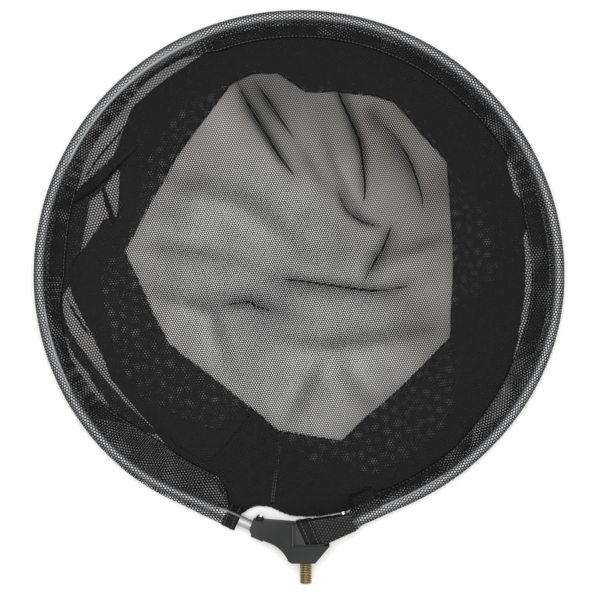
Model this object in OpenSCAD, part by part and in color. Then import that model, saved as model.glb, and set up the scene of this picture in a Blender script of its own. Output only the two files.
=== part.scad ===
// Head of a round fishing landing net: a tube hoop, a moulded block with a threaded stud, and a mesh
// bag on a sleeve, lying on a flat surface with the bag collapsed. The origin is where the stud leaves
// the block. +X is to the right, +Y from the stud towards the hoop, +Z up, and the hoop's plane is Z = 0.

/* [Hoop] */
// Outside diameter of the hoop's tube
tube_d = 8; // [6:0.5:10]
// Wall thickness of the tube
tube_wall = 0.8; // [0.6:0.1:1.5]
// Radius of the hoop's upper half, at the middle of the tube
hoop_r = 196; // [180:1:215]
// Radius of the tighter bend on the right side
side_r = 172; // [160:1:180]
// Turn of the right side's bend, in degrees
side_turn = 30; // [25:1:35]
// Radius of the right side's lower bend, where the hoop runs into its straight arm
lower_r = 200; // [185:1:215]
// Radius of the bend on the left side, where the hoop bulges a little more
left_side_r = 186; // [182:1:190]
// Turn of the left side's bend, in degrees
left_side_turn = 42; // [38:1:46]
// Slope of the straight arms, in degrees
arm_slope = 24; // [20:1:28]

/* [Block] */
// Thickness of the block
block_t = 20; // [18:0.5:24]
// How far the right wing's top lies under the front moulding's top
wing_step = 3.5; // [2:0.5:4]
// Thickness of the rear moulding behind the front one
plate_t = 3.2; // [2.4:0.2:4]
// Depth of the sockets that hold the tube's ends
socket_depth = 22; // [16:1:24]
// Height of the stud housing, from its foot to the ledge
ledge_y = 13; // [12:0.5:14]

/* [Stud] */
// Outside diameter of the stud's thread (3/8 inch)
stud_d = 9.525; // [9.525]
// Length of the stud outside the block
stud_length = 16.5; // [12:0.5:20]
// Pitch of the thread (20 threads to the inch)
thread_pitch = 1.27; // [1.27]
// Width of the hex head across its flats
head_af = 11; // [10:0.5:12]

/* [Net] */
// Thickness of the mesh in this model
mesh_t = 0.6; // [0.4:0.1:0.8]
// Width of the sleeve's flat web, from the middle of the tube to the seam
sleeve_web = 20; // [16:1:24]
// Gap between the hoop and the base panel's edge, measured from the middle of the tube
base_inset = 13; // [12:0.5:16]
// Diameter of the stitched seams
seam_d = 1.4; // [1:0.1:1.8]

/* [Hidden] */
$fn = 64;

tube_r = tube_d / 2;
tube_sides = 16;
ground = -block_t / 2;
eps = 0.01;

// The ring's centre. The hoop is bent a little to the left of the stud.
ring = [-5, 216];
// Where a lower bend is centred, on the ring's right side and from the ring's centre.
function lower_centre(side_r, turn, lower_r) =
    [hoop_r - side_r, 0] + (side_r - lower_r) * [cos(turn), -sin(turn)];
// The straight arm: the turn of the hoop where it starts, its directions and its start on the right side.
arm_turn = 90 - arm_slope;
arm_dir = [-cos(arm_slope), -sin(arm_slope)];
arm_out = [sin(arm_slope), -cos(arm_slope)];
arm_start = lower_centre(side_r, side_turn, lower_r) + lower_r * arm_out;
// The left lower bend's radius is the one that brings it into the same line as the right arm, mirrored.
left_rest = arm_turn - left_side_turn;
left_lower_r = (
    arm_start * arm_out - (hoop_r - left_side_r) * cos(arm_turn) - left_side_r * cos(left_rest)
) / (1 - cos(left_rest));

// Distances along each arm from where it starts: the wings' ends, the tube's ends and the sleeve's ends.
wing_at = [49, 44];
tube_end = [for (w = wing_at) w + socket_depth];
sleeve_end = [39, 83];
hem_w = 9;
screw_from_end = 4;
tube_entry = 2;

// The block's outline: the front moulding's split line and foot, and the wings' half widths.
split_x = -8.5;
split_y = 29.5;
foot_left = -13;
foot_right = 7;
foot_chamfer = [2.5, 1.6];
ledge_right = 18;
wing_out = 5.4;
wing_in = [5, 6.8];
wing_bevel = 3;
arch_r = 26;
arch_from_end = 15;
bead_r = 1.6;
bead_proud = 0.5;
lip = [10, 1.8, 4];
wing_lift = 1.4;

socket_r = tube_r + 0.05;
stud_r = stud_d / 2;
bore_r = stud_r + 0.04;
head_h = 5;
head_gap = 0.1;
thread_depth = 0.64 * thread_pitch;
crest_w = 0.25;
root_w = 0.15;
stud_neck = 0.5;
stud_land = 0.5;
stud_chamfer = 1.1;
thread_turns = floor((stud_length - stud_land - crest_w - stud_chamfer) / thread_pitch);

// Small pan-head screws: head radius and height, shank radius, size of one arm of the cross recess, and
// the seat's distance from the tube's middle.
screw_head = [2.4, 1.6];
screw_r = 1.3;
screw_slot = [2.8, 0.6, 0.8];
screw_gap = 0.1;
screw_seat = 9;
seat_r = 3;
shell_screw_at = [-13.5, 22];
shell_screw_len = 11;
shell_screw_sink = 0.1;

// Clearances and the heights of the net's layers.
sleeve_gap = 0.2;
wing_gap = 0.3;
sleeve_stop = 1.5;
layer_gap = 0.3;
hem_lap = 0.2;
seam_gap = 0.1;
hem_proud = [0.5, 0.4];
web_tip_z = ground + 5;
net_arm = 39;
base_t = 0.8;
fold_z = ground + 2.8;
fold_r = 0.6;
// Inner fold of the wall, where it turns back over the base: straight folds between these corners.
fold = [
    [-53, 360], [-24, 367], [70, 348], [109, 304], [110, 165],
    [34, 93], [-19, 99], [-103, 160], [-137, 236], [-92, 318]
];

// ---- the hoop's path, and what is swept along it or inset from it ----

// A frame is a point at the middle of the tube and the outward direction there, from the ring's centre.
function arc_frames(centre, r, from, to, n) = [
    for (i = [0 : n - 1])
        let (a = from + (to - from) * i / n, out = [cos(a), sin(a)]) [centre + r * out, out]
];
function arm_frame(along) = [arm_start + along * arm_dir, arm_out];
function mirrored(v) = [-v[0], v[1]];

// Frames of one half of the hoop, from its top to a distance along its arm, as if it were the right half.
function half_frames(arm, side_r, turn, lower_r) =
    let (centre = lower_centre(side_r, turn, lower_r)) concat(
        arc_frames([0, 0], hoop_r, 90, 0, 18),
        arc_frames([hoop_r - side_r, 0], side_r, 0, -turn, 6),
        arc_frames(centre, lower_r, -turn, -arm_turn, 7),
        [[centre + lower_r * arm_out, arm_out], arm_frame(arm)]
    );
// Frames from one distance along the left arm, over the top, to one along the right arm.
function hoop_frames(left, right) =
    let (h = half_frames(left, left_side_r, left_side_turn, left_lower_r)) concat(
        [for (i = [len(h) - 1 : -1 : 1]) [mirrored(h[i][0]), mirrored(h[i][1])]],
        half_frames(right, side_r, side_turn, lower_r)
    );
function outline(inset) = [for (f = hoop_frames(net_arm, net_arm)) ring + f[0] - inset * f[1]];

// A point beside an arm: side 1 is right and -1 is left, out is positive away from the hoop's inside.
function arm_point(side, along, out) =
    let (p = arm_start + along * arm_dir + out * arm_out) ring + [side * p[0], p[1]];

function round_profile(r, n) = [for (i = [0 : n - 1]) r * [cos(360 * i / n), sin(360 * i / n)]];

// Sweeps a closed profile along frames. The profile's x is outwards and its y is up. With inner, a
// second profile of as many points, the swept solid is hollow.
module sweep(frames, outer, inner = []) {
    n = len(outer);
    hollow = len(inner) > 0;
    ring_n = hollow ? 2 * n : n;
    last = (len(frames) - 1) * ring_n;
    profile = concat(outer, inner);
    points = [for (f = frames, p = profile) let (at = ring + f[0] + p[0] * f[1]) [at[0], at[1], p[1]]];
    sides = [
        for (i = [0 : len(frames) - 2], j = [0 : n - 1])
            let (a = i * ring_n, b = a + ring_n, k = (j + 1) % n)
            each concat(
                [[a + j, b + j, b + k], [a + j, b + k, a + k]],
                hollow ? [[a + n + j, b + n + k, b + n + j], [a + n + j, a + n + k, b + n + k]] : []
            )
    ];
    caps = hollow
        ? [for (j = [0 : n - 1]) let (k = (j + 1) % n) each [
            [j, k, n + k, n + j],
            [last + k, last + j, last + n + j, last + n + k]
        ]]
        : [[for (j = [0 : n - 1]) j], [for (j = [n - 1 : -1 : 0]) last + j]];
    polyhedron(points = points, faces = concat(sides, caps));
}

// The frame of an arm: +X along it towards the block, +Y outwards on either side.
module on_arm(side) {
    translate(ring) mirror([side < 0 ? 1 : 0, 0, 0])
        translate(arm_start) rotate(180 + arm_slope) children();
}

// ---- hoop ----

module hoop_tube() {
    color("silver") sweep(
        hoop_frames(tube_end[0], tube_end[1]),
        round_profile(tube_r, tube_sides), round_profile(tube_r - tube_wall, tube_sides)
    );
}

// ---- block ----

// A cylinder across an arm at its screw, from one distance outwards of the tube's middle to another.
module screw_hole(side, r, from, to) {
    on_arm(side) translate([wing_at[side < 0 ? 0 : 1] + screw_from_end, from, 0])
        rotate([-90, 0, 0]) cylinder(h = to - from, r = r);
}

// Where the arch under the left wing starts and ends, and the centre of its arc.
arch_a = arm_point(-1, wing_at[0] + arch_from_end, wing_out);
arch_b = [foot_left, foot_chamfer[1]];
arch_mid = (arch_a + arch_b) / 2;
arch_half = norm(arch_b - arch_a) / 2;
arch_dir = (arch_b - arch_a) / norm(arch_b - arch_a);
arch_centre = arch_mid + sqrt(arch_r * arch_r - arch_half * arch_half) * [arch_dir[1], -arch_dir[0]];

module front_plan() {
    difference() {
        polygon([
            arm_point(-1, wing_at[0] + wing_bevel, wing_out),
            arm_point(-1, wing_at[0], wing_out - wing_bevel),
            arm_point(-1, wing_at[0], -wing_in[0]), [split_x, split_y], [split_x, ledge_y],
            [ledge_right, ledge_y], [foot_right, 0], [foot_left + foot_chamfer[0], 0], arch_b, arch_a
        ]);
        translate(arch_centre) circle(arch_r, $fn = 96);
    }
}

module right_wing_plan() {
    difference() {
        polygon([
            arm_point(1, wing_at[1] + wing_bevel / 2, wing_out),
            arm_point(1, wing_at[1], wing_out - wing_bevel / 2),
            arm_point(1, wing_at[1], -wing_in[1]), [split_x, split_y], [split_x, 0],
            arm_point(1, sleeve_end[1], wing_out)
        ]);
        translate([-hoop_r, ledge_y - hoop_r]) square([2 * hoop_r, hoop_r]);
    }
}

module socket(side) {
    i = side < 0 ? 0 : 1;
    on_arm(side) translate([wing_at[i] - tube_entry, 0, 0]) rotate([0, 90, 0])
        cylinder(h = socket_depth + tube_entry, r = socket_r);
}

module screw_seat_boss(side, grow = 0) {
    screw_hole(side, seat_r + grow, -screw_seat, -tube_r);
}

module stud_cut() {
    rotate([-90, 0, 0]) translate([0, 0, -1]) cylinder(h = ledge_y + 2, r = bore_r);
    translate([0, ledge_y - head_h, 0]) rotate([-90, 30, 0])
        cylinder(h = head_h + 1, r = (head_af / 2 + head_gap) / cos(30), $fn = 6);
}

module block_front_shell() {
    color("#26282c") difference() {
        union() {
            translate([0, 0, ground + plate_t]) linear_extrude(block_t - plate_t) front_plan();
            translate([split_x - bead_r, ledge_y, -ground - bead_r + bead_proud]) rotate([-90, 0, 0])
                cylinder(h = split_y - ledge_y - 1, r = bead_r);
            screw_seat_boss(-1);
        }
        socket(-1);
        screw_hole(-1, screw_r + screw_gap, -screw_seat - 1, 0);
        stud_cut();
        translate([shell_screw_at[0], shell_screw_at[1], ground])
            cylinder(h = shell_screw_len + 0.5, r = screw_r);
    }
}

module block_rear_shell() {
    color("#1f2124") difference() {
        union() {
            translate([0, 0, ground]) linear_extrude(plate_t) front_plan();
            translate([0, 0, ground + wing_lift])
                linear_extrude(block_t - wing_lift - wing_step) right_wing_plan();
            on_arm(-1) translate([wing_at[0] + wing_bevel, wing_out, ground])
                cube([lip[0], lip[1], lip[2] - ground]);
            screw_seat_boss(1);
        }
        socket(1);
        screw_hole(1, screw_r + screw_gap, -screw_seat - 1, 0);
        translate([shell_screw_at[0], shell_screw_at[1], ground - 1]) {
            cylinder(h = plate_t + 2, r = screw_r + 2 * screw_gap);
            cylinder(h = 1 + screw_head[1] + shell_screw_sink, r = screw_head[0] + 2 * screw_gap);
        }
    }
}

// ---- stud and screws ----

// Half profile of the stud: radius, distance from the block's foot (positive outwards). A neck runs from
// the head to the foot, then a short land, the thread's grooves, a land and the chamfered tip.
function groove(i) = let (y = stud_land + i * thread_pitch, middle = y + (crest_w + thread_pitch) / 2) [
    [stud_r, y + crest_w], [stud_r - thread_depth, middle - root_w / 2],
    [stud_r - thread_depth, middle + root_w / 2], [stud_r, y + thread_pitch]
];
neck_from = head_h - ledge_y - eps;
stud_profile = concat(
    [[0, neck_from], [stud_r - stud_neck, neck_from], [stud_r - stud_neck, 0], [stud_r, 0]],
    [for (i = [0 : thread_turns - 1]) each groove(i)],
    [[stud_r, stud_length - stud_chamfer], [stud_r - stud_chamfer, stud_length], [0, stud_length]]
);

module threaded_stud() {
    color("#b08d3c") {
        rotate([90, 0, 0]) rotate_extrude() polygon(stud_profile);
        translate([0, ledge_y - head_h, 0]) rotate([-90, 30, 0])
            cylinder(h = head_h - head_gap, r = head_af / 2 / cos(30), $fn = 6);
    }
}

// A pan-head screw pointing along +Z from its seat, with a cross recess.
module pan_screw(length) {
    difference() {
        union() {
            translate([0, 0, -screw_head[1] / 2]) cylinder(h = screw_head[1] / 2, r = screw_head[0]);
            translate([0, 0, -screw_head[1]])
                cylinder(h = screw_head[1] / 2 + eps, r = screw_head[0] * 0.8);
            cylinder(h = length, r = screw_r - 2 * eps);
        }
        for (turn = [0, 90]) rotate(turn)
            translate([-screw_slot[0] / 2, -screw_slot[1] / 2, -screw_head[1] - 1])
                cube(screw_slot + [0, 0, 1]);
    }
}

module arm_screws() {
    color("#8f9296") for (side = [1, -1])
        on_arm(side) translate([wing_at[side < 0 ? 0 : 1] + screw_from_end, -screw_seat, 0])
            rotate([-90, 0, 0]) pan_screw(screw_seat - tube_r + tube_wall + 1);
}

module shell_screw() {
    seat_z = ground + screw_head[1] + shell_screw_sink;
    color("#8f9296") translate([shell_screw_at[0], shell_screw_at[1], seat_z])
        pan_screw(shell_screw_len - screw_head[1] - 0.5);
}

// ---- sleeve ----

// The sleeve's section: a ring round the tube and a flat web that slopes down to the seam.
sleeve_n = 18;
sleeve_from = -164;
sleeve_to = 160;
sleeve_angles = [for (i = [0 : sleeve_n]) sleeve_from + (sleeve_to - sleeve_from) * i / sleeve_n];
function ring_points(r, angles) = [for (a = angles) r * [cos(a), sin(a)]];
function sleeve_outer(grow = 0) = concat(
    ring_points(tube_r + sleeve_gap + mesh_t + grow, sleeve_angles),
    [[-sleeve_web, web_tip_z + mesh_t / 2 + grow], [-sleeve_web, web_tip_z - mesh_t / 2 - grow]]
);
sleeve_inner = ring_points(tube_r + sleeve_gap, concat(sleeve_angles, [172, 184]));
wing_z = ground + wing_lift - wing_gap;
wing_h = block_t - wing_lift - wing_step + 2 * wing_gap;

// The part of the sleeve that is pulled over the right wing, between two distances along the arm.
module wing_shell(from, to, grow = 0) {
    difference() {
        intersection() {
            translate([0, 0, wing_z - mesh_t - grow]) linear_extrude(wing_h + 2 * (mesh_t + grow))
                offset(delta = wing_gap + mesh_t + grow) right_wing_plan();
            on_arm(1) translate([from, -2 * block_t, -block_t]) cube([to - from, 4 * block_t, 2 * block_t]);
        }
        translate([0, 0, wing_z]) linear_extrude(wing_h) offset(delta = wing_gap) right_wing_plan();
        on_arm(1) translate([from - 1, 0, 0]) rotate([0, 90, 0])
            cylinder(h = to - from, r = tube_r + sleeve_gap);
        screw_hole(1, seat_r + wing_gap, -screw_seat - screw_head[1] - 1, 0);
        translate([0, 0, ground - 1]) linear_extrude(block_t + 2) offset(delta = wing_gap) front_plan();
    }
}

module net_sleeve() {
    color("#303235") {
        sweep(
            hoop_frames(sleeve_end[0] - hem_w - hem_lap, wing_at[1] - sleeve_stop),
            sleeve_outer(), sleeve_inner
        );
        wing_shell(wing_at[1] - sleeve_stop + layer_gap, sleeve_end[1] - hem_w - hem_lap);
    }
}

module sleeve_hem_left() {
    hem = [for (along = [sleeve_end[0], sleeve_end[0] - hem_w])
        [mirrored(arm_frame(along)[0]), mirrored(arm_out)]];
    color("#17181a") sweep(hem, sleeve_outer(hem_proud[0]), sleeve_inner);
}

module sleeve_hem_right() {
    color("#17181a") wing_shell(sleeve_end[1] - hem_w, sleeve_end[1], hem_proud[1]);
}

module rim_seam() {
    at = [-sleeve_web - seam_d / 2 - seam_gap, web_tip_z];
    color("#101113") sweep(hoop_frames(net_arm, net_arm), [for (p = round_profile(seam_d / 2, 8)) at + p]);
}

// ---- bag ----

// Distance from the ring's centre to a closed outline, along a direction.
function cross2(a, b) = a[0] * b[1] - a[1] * b[0];
function reach(points, dir) = min([
    for (i = [0 : len(points) - 1])
        let (a = points[i] - ring, b = points[(i + 1) % len(points)] - ring, e = b - a, d = cross2(dir, e))
        if (abs(d) > 1e-9)
            let (t = cross2(a, e) / d, s = cross2(a, dir) / d)
            if (t > 0 && s >= -1e-9 && s <= 1 + 1e-9) t
]);

// The wall's section in one direction: from the rim in to the fold and back out to the base's edge,
// and back along its other face.
function wall_section(rim, edge, tip) = [
    [rim, web_tip_z + mesh_t / 2], [tip + fold_r, fold_z + mesh_t], [tip, fold_z],
    [tip + fold_r, fold_z - mesh_t], [edge, ground + base_t + layer_gap],
    [edge, ground + base_t + layer_gap + mesh_t], [tip + 4 * fold_r, fold_z], [rim, web_tip_z - mesh_t / 2]
];

rim_inset = sleeve_web + seam_d + layer_gap;
wall_rim = outline(rim_inset);
wall_edge = outline(base_inset);
wall_points = [
    for (i = [0 : len(wall_rim) - 1])
        let (
            out = wall_rim[i] - ring, dir = out / norm(out),
            section = wall_section(norm(out), reach(wall_edge, dir), reach(fold, dir))
        )
        each [for (p = section) [ring[0] + dir[0] * p[0], ring[1] + dir[1] * p[0], p[1]]]
];
section_n = 8;

module net_wall() {
    n = len(wall_rim);
    color("#222427") polyhedron(
        points = wall_points,
        faces = [
            for (i = [0 : n - 1], j = [0 : section_n - 1])
                let (a = i * section_n, b = ((i + 1) % n) * section_n, k = (j + 1) % section_n)
                each [[a + j, b + j, b + k], [a + j, b + k, a + k]]
        ]
    );
}

// The seam that closes the wall into a ring, beside the block.
seam_dir = -97;
seam_w = 3;
module wall_side_seam() {
    dir = [cos(seam_dir), sin(seam_dir)];
    rim = reach(wall_rim, dir) - 1;
    tip = reach(fold, dir) + 2;
    rim_z = web_tip_z + mesh_t + seam_gap;
    tip_z = fold_z + mesh_t + layer_gap;
    color("#101113") translate(ring) rotate(seam_dir) rotate([90, 0, 0]) translate([0, 0, -seam_w / 2])
        linear_extrude(seam_w)
            polygon([[tip, tip_z], [rim, rim_z], [rim, rim_z + mesh_t], [tip, tip_z + mesh_t]]);
}

module base_seam() {
    outer = base_inset - seam_gap - seam_d;
    color("#101113") translate([0, 0, ground + seam_gap]) linear_extrude(seam_d) difference() {
        polygon(outline(outer));
        polygon(outline(outer + seam_d));
    }
}

module net_base() {
    color("#3a3c3f") translate([0, 0, ground]) linear_extrude(base_t) polygon(wall_edge);
}

hoop_tube();
block_front_shell();
block_rear_shell();
threaded_stud();
arm_screws();
shell_screw();
net_sleeve();
sleeve_hem_left();
sleeve_hem_right();
rim_seam();
net_wall();
wall_side_seam();
base_seam();
net_base();
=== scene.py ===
"""Looks of the landing net head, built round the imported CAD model.

Lengths are in millimetres and angles in degrees until a mesh is made, when MM turns them into
metres. The frame is the CAD model's: origin where the stud leaves the block, +Y towards the hoop,
+Z up.
"""
import math

import bpy
import numpy as np
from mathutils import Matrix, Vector, noise


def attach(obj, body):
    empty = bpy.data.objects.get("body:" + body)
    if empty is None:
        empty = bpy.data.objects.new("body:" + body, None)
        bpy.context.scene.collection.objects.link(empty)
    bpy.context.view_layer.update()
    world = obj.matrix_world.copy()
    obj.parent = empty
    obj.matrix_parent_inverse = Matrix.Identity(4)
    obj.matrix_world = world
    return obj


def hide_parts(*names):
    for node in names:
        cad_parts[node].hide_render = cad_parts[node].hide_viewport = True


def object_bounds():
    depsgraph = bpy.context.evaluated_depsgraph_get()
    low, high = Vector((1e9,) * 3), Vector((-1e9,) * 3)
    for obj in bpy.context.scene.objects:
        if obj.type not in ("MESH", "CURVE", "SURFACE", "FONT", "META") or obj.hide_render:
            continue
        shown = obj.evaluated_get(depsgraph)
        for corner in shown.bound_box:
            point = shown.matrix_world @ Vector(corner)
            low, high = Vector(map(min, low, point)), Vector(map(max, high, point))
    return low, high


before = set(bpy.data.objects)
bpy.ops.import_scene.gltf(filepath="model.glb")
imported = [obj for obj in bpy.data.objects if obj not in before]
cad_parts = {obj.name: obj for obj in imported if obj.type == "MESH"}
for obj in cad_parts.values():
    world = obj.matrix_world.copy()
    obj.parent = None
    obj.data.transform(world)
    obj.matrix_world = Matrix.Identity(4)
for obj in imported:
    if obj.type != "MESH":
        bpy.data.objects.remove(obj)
cad_low, cad_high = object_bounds()

MM = 0.001

# ---- the hoop and block, as the CAD model has them ----
RING = np.array([-5.0, 216.0])
TUBE_R = 4.0
HOOP_R, ARM_SLOPE = 196.0, 24.0
# The right half's bends: the side one's radius and turn, and the lower one's radius. The left
# half's lower bend follows from its side bend.
RIGHT_BENDS = (172.0, 30.0, 200.0)
LEFT_SIDE_R, LEFT_TURN = 186.0, 42.0
GROUND = cad_low.z / MM
# Distances along the arms to the tube's ends, the sleeve's and the net's.
TUBE_LEFT, TUBE_RIGHT = 71.0, 66.0
SLEEVE_LEFT, SLEEVE_RIGHT = 39.0, 83.0
NET_ARM = 39.0
HEM_W = 9.0
# The right wing: its end and the mouldings' split along the arm, its half widths towards the net at
# those two places and away from it, and its heights.
WING_AT, SPLIT_ALONG = 44.0, 84.5
WING_IN, WING_OUT = (6.8, 18.1), 5.4
WING_TOP, WING_FOOT = 6.5, -8.6
# The block's ledge, where the sleeve's outer side stops.
LEDGE_Y = 13.0
STUD_R, STUD_LENGTH, THREAD_PITCH, THREAD_DEPTH = 4.7625, 16.5, 1.27, 0.78
HEX_ACROSS, HEX_FROM, HEX_TO = 11.0, 8.0, 12.9

# ---- the net's own sizes ----
# Distance between the mesh's holes, the sleeve's gap round the tube, and the heights of the rim
# seam and the base.
MESH_PITCH = 1.79
CLOTH_GAP = 0.25
WEB_TIP_Z = -5.0
BASE_Z = GROUND + 0.25
# Direction from the ring's centre of the seam that closes the wall into a ring.
SEAM_DIR = -97.0
# The bag's ripples flatten out over this distance from the rim.
RIM_FADE = 14.0
ANGLES = np.arange(0, 360, 0.5)
# Heights of the wall's six runs over the base, from the one that leaves the rim down to the lowest.
RUN_Z = (-5.6, -6.3, -7.0, -7.8, -8.4, -9.0)
# How far the mesh is turned in each of those runs, in the base and in the sleeve, and how much
# wider than at rest it stands in the sleeve and the wall.
RUN_TURNS = (-12, 0, -11.5, -1.5, -17, -3)
BASE_TURN = -7
SLEEVE_TURN = 30
SLEEVE_STRETCH, WALL_STRETCH = 1.24, 1.2

# Corners of the fold where the wall turns back over the base.
FOLD = [
    (109, 169), (112, 225), (107, 302), (67, 347), (50, 352), (20, 355), (0, 355), (-21, 369),
    (-41, 369), (-57, 361), (-99, 304), (-137, 235), (-119, 196), (-104, 165), (-70, 139),
    (-21, 99), (2, 95), (27, 91), (40, 104), (70, 129),
]
# The rim seam, where the sleeve's web ends: (angle round the ring's centre, radius).
RIM = [
    (0, 176.5), (14, 175.5), (28, 182), (45, 180), (110, 180), (118, 187), (128, 187), (138, 183),
    (145, 184.5), (152, 184), (160, 180), (172, 177), (180, 177), (187, 182), (200, 184),
    (212, 178), (224, 167), (232, 163), (246, 163), (251, 172), (254, 186), (256.5, 186.5),
    (258, 180.5), (260, 177.5), (263, 177), (265.5, 180), (268, 182.5), (274, 183.5), (281, 182.5),
    (285, 180), (290, 174), (312, 175), (320, 174), (338, 174), (346, 175.5),
]
# The base's edge, where the folded wall ends. It runs under the rim where the net shows no gap.
PILE = [
    (0, 172), (10, 173), (13, 179), (19, 179), (21, 175), (24, 177), (28, 179), (30, 184),
    (112, 184), (119, 181), (131, 180), (135, 180), (138, 176), (141, 173), (146, 168),
    (148.5, 167), (149.5, 158), (152, 154.5), (155, 151), (159, 147), (162.5, 145.5), (163.5, 154),
    (168, 158.5), (173, 165), (177, 176), (181, 175), (185, 173), (190, 168), (197, 163),
    (204, 161), (208, 163), (218, 160), (226, 160), (232, 164), (248, 165), (251, 171.8),
    (254, 185.8), (256.5, 186.3), (258, 180.3), (260, 177.3), (263, 176.8), (265.5, 179.8),
    (268, 182.3), (274, 183.3), (281, 182.3), (286, 179), (300, 180), (315, 176), (338, 175),
    (341, 174), (347, 172),
]
# Inner and outer line of the loose tuck that the wall makes beside the rim. Where they are 100
# there is none, and both lie just outside the fold.
TUCK_IN = [
    (0, 100), (138, 100), (148, 158), (152, 160), (156, 162), (158, 165), (160.5, 168.5),
    (164, 166.5), (168, 165.8), (174, 166.3), (178, 174), (182, 173), (185, 180), (188, 181),
    (192, 180), (198, 174.5), (203, 170), (208, 166.5), (218, 162), (226, 160), (230, 158),
    (244, 158), (252, 100),
]
TUCK_OUT = [
    (0, 100), (138, 100), (148, 159), (151, 165), (156, 171.5), (159, 176), (161, 184), (192, 186),
    (195, 183), (200, 181), (205, 176.5), (212, 175), (220, 174), (226, 166), (230, 158.2),
    (244, 158.2), (252, 100),
]
# Where a second fold under the first begins. Outside it the net is five runs deep.
DEEP = [
    (0, 150), (20, 150), (27, 143), (34, 141), (44, 146), (60, 151), (76, 145), (88, 142),
    (96, 155), (110, 155), (118, 155), (123, 159), (130, 152), (145, 143), (154, 134), (162, 132),
    (172, 134), (176, 150), (190, 150), (218, 151), (224, 142), (236, 137), (243, 131), (247, 109),
    (263, 120), (268, 130), (275, 143), (281, 141), (290, 160), (312, 160), (322, 150), (330, 138),
    (339, 124), (349, 120), (354, 138),
]
# How far the sleeve's two edges are turned in past the seam, and how loose the sleeve is outside
# the tube.
TURN_IN = [
    (0, 30), (205, 30), (222, 2), (240, 2), (252, 6), (284, 30), (308, 30), (318, 2), (338, 2),
    (346, 30),
]
LOOSE = [
    (0, 0.1), (90, 0), (120, 0), (205, 0.2), (225, 0.8), (240, 2.4), (250, 3.6), (256, 4.0),
    (260, 0.2), (355, 0.1),
]
# Narrow pleats laid over in the base: their lines, the widest that each one gets, and how much the
# mesh closes beside it, which paints shade along the pleat.
PLEATS = [
    ([(22, 367), (26, 352), (33, 336), (40, 320), (43, 305), (45, 284), (44, 271)], 1.9, 0.22),
    ([(58, 331), (68, 321), (78, 305), (84, 290), (88, 277), (89, 268)], 1.3, 0.10),
    ([(65, 254), (60, 240), (51, 224), (45, 213)], 1.2, 0.16),
    ([(-16, 213), (-4, 212), (24, 208), (46, 205), (61, 205), (77, 208)], 1.4, 0.10),
    ([(-52, 363), (-43, 345), (-28, 320), (-19, 305), (-9, 293)], 1.2, 0.34),
    ([(-40, 365), (-29, 350), (-19, 335), (-9, 321)], 0.8, 0.24),
    ([(-60, 194), (-43, 196), (-38, 193), (-26, 189)], 1.0, 0.12),
    ([(23, 284), (31, 266), (43, 257), (58, 253)], 0.9, 0.22),
]
# Pleats in the wall where only one or two layers lie: their lines and widths.
WALL_PLEATS = [
    ([(-186, 268), (-173, 276), (-161, 285.5), (-149, 297), (-138, 307), (-126, 316)], 10.0),
    ([(-154, 285), (-150.5, 272), (-147, 261), (-145.5, 255)], 4.0),
    ([(-181, 199), (-174, 186), (-163, 169)], 1.8),
    ([(-167, 290), (-159, 302.5), (-151, 312.5), (-142, 323), (-136, 331)], 1.8),
]
# Wide patches of painted light and shade, where the base's mesh stands more open or less open:
# middle, radius and share.
PATCHES = [
    ((-33, 357), 30, -0.20), ((10, 352), 26, -0.06), ((52, 336), 30, -0.17), ((88, 300), 32, -0.13),
    ((105, 245), 34, -0.12), ((-50, 244), 36, 0.06), ((-19, 218), 22, -0.10),
    ((33, 239), 18, -0.11), ((-100, 273), 20, -0.09), ((-112, 200), 18, -0.10),
    ((88, 185), 26, -0.11), ((95, 160), 22, -0.08), ((105, 280), 22, -0.10),
    ((-20, 175), 26, -0.05), ((-90, 300), 40, -0.02), ((-70, 150), 24, 0.04),
]
# Soft folds in the base: their lines, width and height, and how much more open the mesh stands on
# the left of the line, along it and on its right, which paints light and shade across each fold.
FOLDS = [
    ([(-104, 286), (-77, 281), (-50, 271), (-29, 257), (-13, 246), (0, 230)], 11, 2.0,
     (-0.03, -0.05, 0.10)),
    ([(-134, 239), (-97, 236), (-60, 229), (-35, 222)], 9, 1.6, (0.04, -0.06, 0.02)),
    ([(-119, 200), (-88, 192), (-72, 185), (-68, 167), (-60, 142)], 7, 1.8, (-0.08, 0.03, 0.11)),
    ([(-26, 172), (-9, 165), (8, 163), (41, 165), (75, 170), (109, 177)], 9, 1.8,
     (-0.02, -0.07, 0.08)),
    ([(13, 159), (1, 139), (-9, 121), (-19, 101)], 8, 1.6, (-0.07, 0.04, 0.08)),
    ([(31, 159), (35, 142), (46, 128), (58, 118)], 9, 1.6, (0.09, 0.03, -0.06)),
    ([(18, 333), (24, 306), (36, 281), (46, 264), (61, 254)], 6, 2.4, (0.0, 0.10, -0.12)),
    ([(-43, 217), (-16, 213), (24, 208), (61, 205), (92, 219)], 10, 2.0, (0.09, -0.06, 0.0)),
    ([(65, 254), (60, 240), (51, 224), (45, 213)], 8, 2.0, (-0.08, -0.05, 0.05)),
    ([(-90, 199), (-60, 194), (-43, 196), (-26, 189), (0, 180)], 8, 1.2, (-0.06, -0.06, 0.02)),
    ([(62, 227), (92, 240), (110, 246)], 7, 1.6, (0.0, -0.09, 0.05)),
    ([(48, 348), (53, 332), (60, 326)], 7, 1.4, (0.0, -0.12, 0.0)),
    ([(-47, 362), (-35, 345), (-22, 322)], 4, 1.4, (0.0, 0.10, 0.0)),
    ([(-9, 321), (8, 294), (24, 274)], 6, 1.2, (0.03, -0.08, 0.0)),
    ([(-52, 363), (-43, 345), (-28, 320), (-19, 305), (-9, 293)], 6, 1.4, (-0.05, -0.05, 0.02)),
    ([(22, 367), (33, 336), (43, 305), (45, 284)], 5, 1.4, (-0.06, -0.06, 0.03)),
    ([(58, 331), (78, 305), (88, 277)], 7, 1.4, (0.05, -0.03, -0.05)),
]

# ---- the stage, in metres and watts ----
FLOOR_HALF = 6.0
SKY = 0.76
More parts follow.
